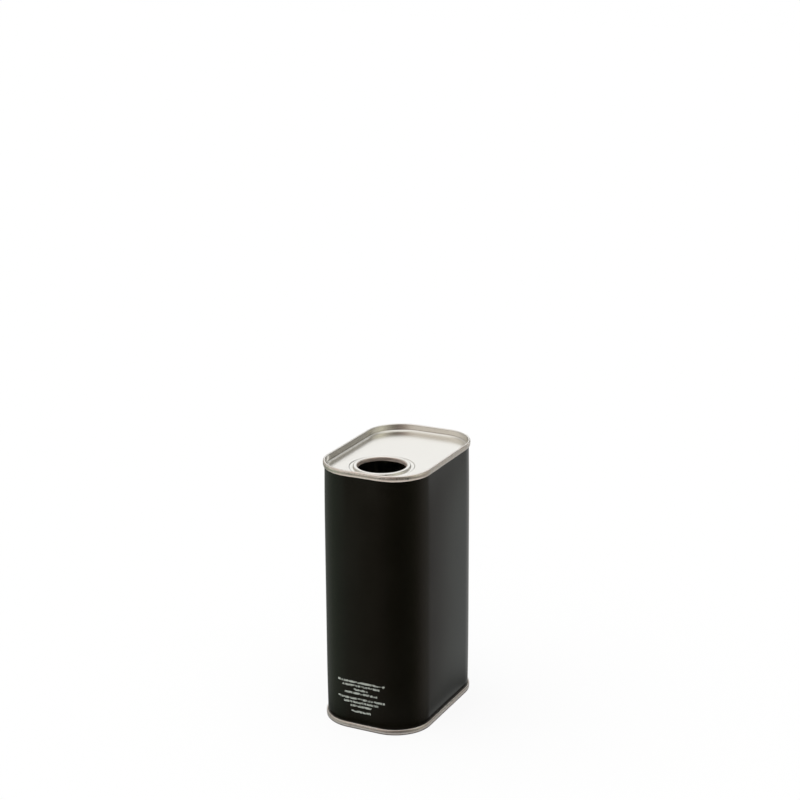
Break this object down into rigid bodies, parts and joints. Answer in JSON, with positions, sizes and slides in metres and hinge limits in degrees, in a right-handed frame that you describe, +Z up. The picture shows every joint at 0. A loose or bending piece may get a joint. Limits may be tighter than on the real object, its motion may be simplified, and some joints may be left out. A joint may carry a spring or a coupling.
{
  "type": "oil tin",
  "caption": "Oblong tinplate oil tin with round corners, black enamel sides, double-seamed bare ends and a beaded round neck that takes a press-in pouring spout.",
  "frame": {"origin": "on the table, under the middle of the tin", "axes": "+Z up; +X across the narrow front, to its right; -Y out of the front, on the neck's side"},
  "size_m": [0.0562, 0.0814, 0.136],
  "materials": {
    "body_tinplate": "bare bright tinplate, rolled",
    "end_tinplate": "bright tinplate, satin",
    "black_enamel": "baked black enamel, semi-gloss",
    "seam_compound": "flowed-in sealing compound, dull",
    "side_stripe_lacquer": "pale lacquer stripe, satin",
    "print_ink": "pale grey print"
  },
  "bodies": {
    "root": {"body_shell": "body_tinplate", "top_end": "end_tinplate", "bottom_end": "end_tinplate", "top_seam_compound": "seam_compound", "bottom_seam_compound": "seam_compound", "black_enamel_coat": "black_enamel", "inner_side_stripe": "side_stripe_lacquer"}
  },
  "joints": []
}
